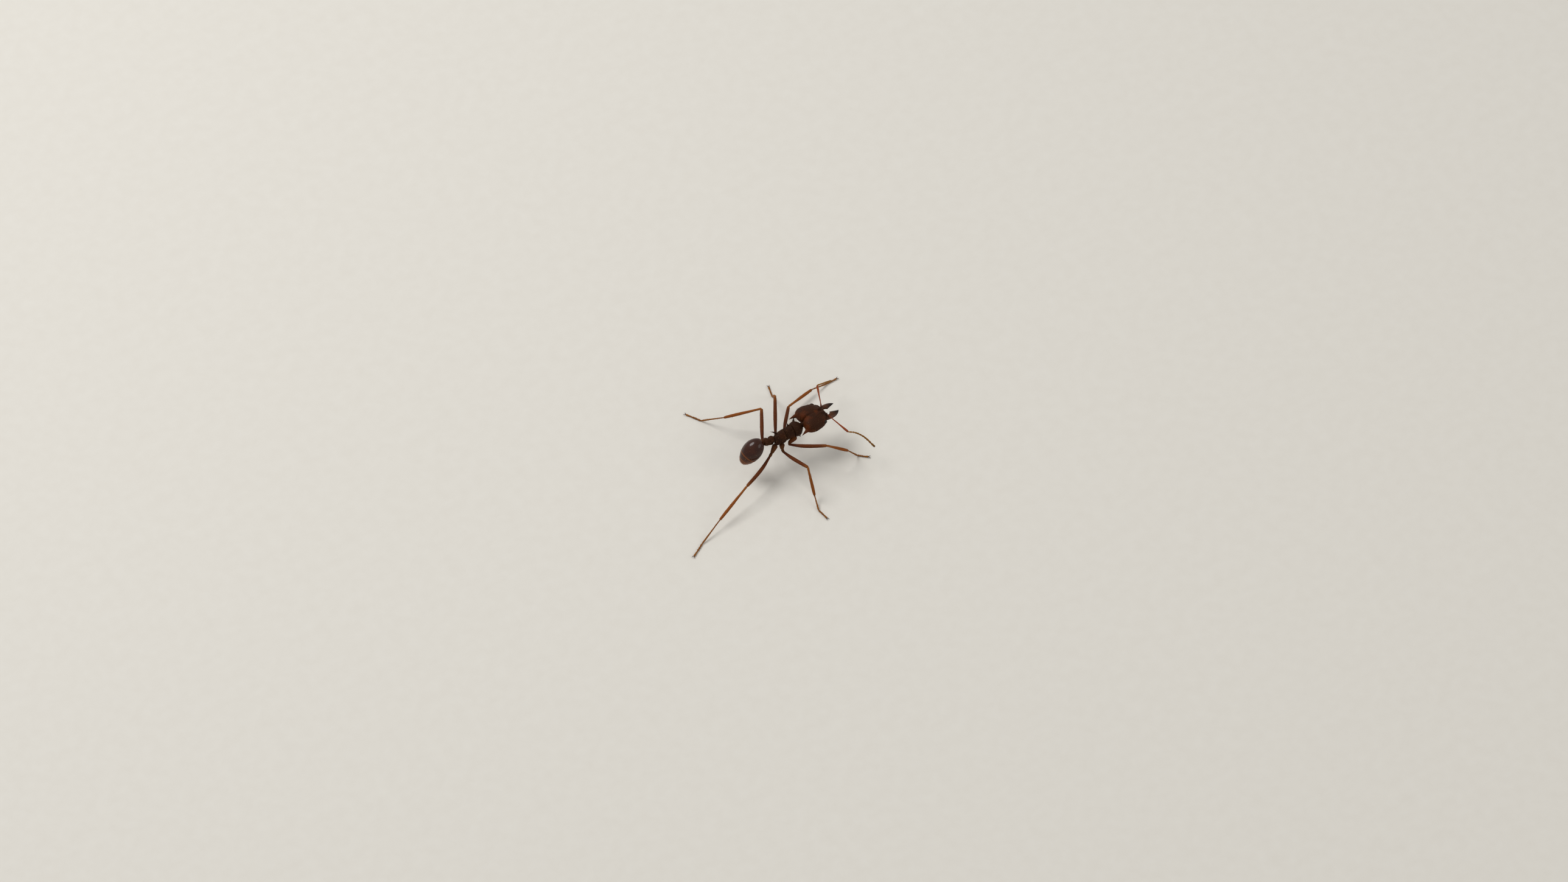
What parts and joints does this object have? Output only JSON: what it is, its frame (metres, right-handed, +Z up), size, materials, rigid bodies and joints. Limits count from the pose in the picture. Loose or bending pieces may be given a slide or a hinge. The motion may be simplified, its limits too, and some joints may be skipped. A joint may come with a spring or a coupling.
{
  "type": "leafcutter ant figure",
  "caption": "Life-size still figure of a leafcutter ant worker with a heart-shaped spined head, narrow waist, egg-shaped gaster, elbowed antennae and long thin walking legs.",
  "frame": {"origin": "on the floor, under the middle of the footprint of the whole animal", "axes": "+X is the way the ant faces, +Y is its left, +Z is up; the feet stand on the plane z = 0"},
  "size_m": [0.0206, 0.0162, 0.0039],
  "materials": {
    "head_shell": "horny head shell with a fine net of ridges and a low sheen",
    "thorax_shell": "dull, finely netted shell of the thorax and waist",
    "gaster": "smooth glossy dark brown plates with reddish-brown towards the tip",
    "mandible": "dark striated blade with a smooth toothed edge",
    "eye": "grey-brown faceted eye",
    "scape": "reddish-brown first antenna segment",
    "feeler": "yellow-brown bent antenna end, finely haired",
    "leg": "orange-brown leg cuticle",
    "foot": "lighter orange-brown jointed foot"
  },
  "bodies": {
    "root": {"pronotum": "thorax_shell", "rear_thorax": "thorax_shell", "petiole": "thorax_shell", "postpetiole": "thorax_shell", "gaster_front": "gaster", "gaster_middle": "gaster", "gaster_tip": "gaster", "head": "head_shell", "eye_left": "eye", "eye_right": "eye", "mandible_left": "mandible", "mandible_right": "mandible", "scape_left": "scape", "scape_right": "scape", "funiculus_left": "feeler", "funiculus_right": "feeler", "coxa_front_left": "leg", "femur_front_left": "leg", "tibia_front_left": "leg", "tarsus_front_left": "foot", "coxa_front_right": "leg", "femur_front_right": "leg", "tibia_front_right": "leg", "tarsus_front_right": "foot", "coxa_middle_left": "leg", "femur_middle_left": "leg", "tibia_middle_left": "leg", "tarsus_middle_left": "foot", "coxa_middle_right": "leg", "femur_middle_right": "leg", "tibia_middle_right": "leg", "tarsus_middle_right": "foot", "coxa_hind_left": "leg", "femur_hind_left": "leg", "tibia_hind_left": "leg", "tarsus_hind_left": "foot", "coxa_hind_right": "leg", "femur_hind_right": "leg", "tibia_hind_right": "leg", "tarsus_hind_right": "foot"}
  },
  "joints": []
}
